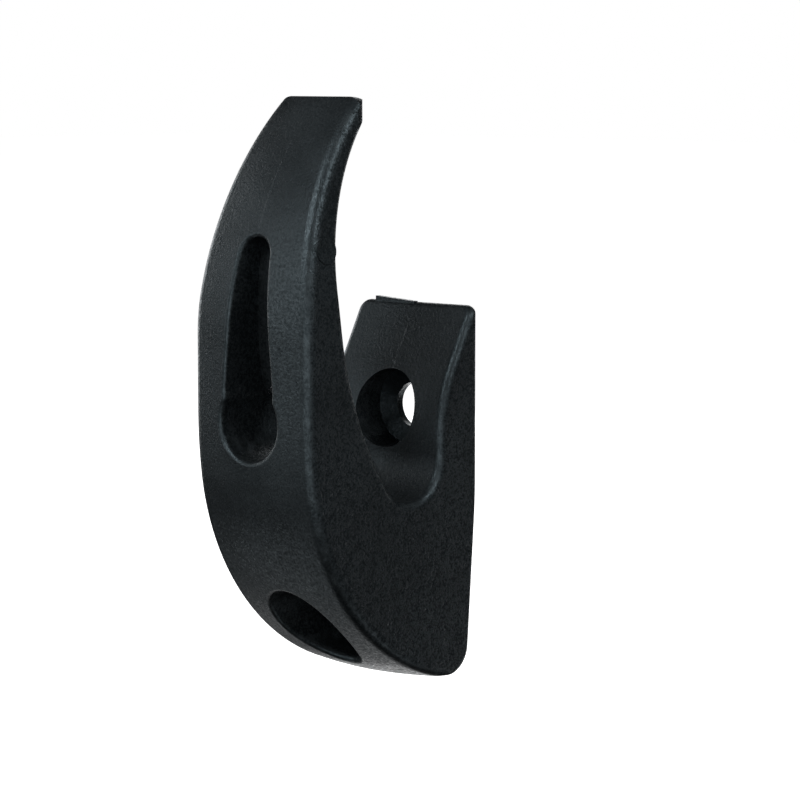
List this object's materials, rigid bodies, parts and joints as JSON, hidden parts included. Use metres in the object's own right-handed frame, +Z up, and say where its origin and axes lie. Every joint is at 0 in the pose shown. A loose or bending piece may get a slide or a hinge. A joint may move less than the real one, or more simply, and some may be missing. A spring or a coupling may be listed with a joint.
{
  "type": "screw-on hook",
  "caption": "Moulded black plastic J-shaped hook with a keyhole slot, fastened flat to a wall or tube by two counterbored screws.",
  "frame": {"origin": "on the flat mounting face, halfway between the axes of the two screw holes", "axes": "+Z up along the line of the screws towards the horn's tip, -Y out of the wall towards the horn, +X to the right seen from the front"},
  "size_m": [0.0186, 0.03, 0.0696],
  "materials": {
    "moulded_plastic": "black glass-filled nylon, satin front, fine spark-eroded grain on the sides"
  },
  "bodies": {
    "root": {"hook_body": "moulded_plastic"}
  },
  "joints": []
}
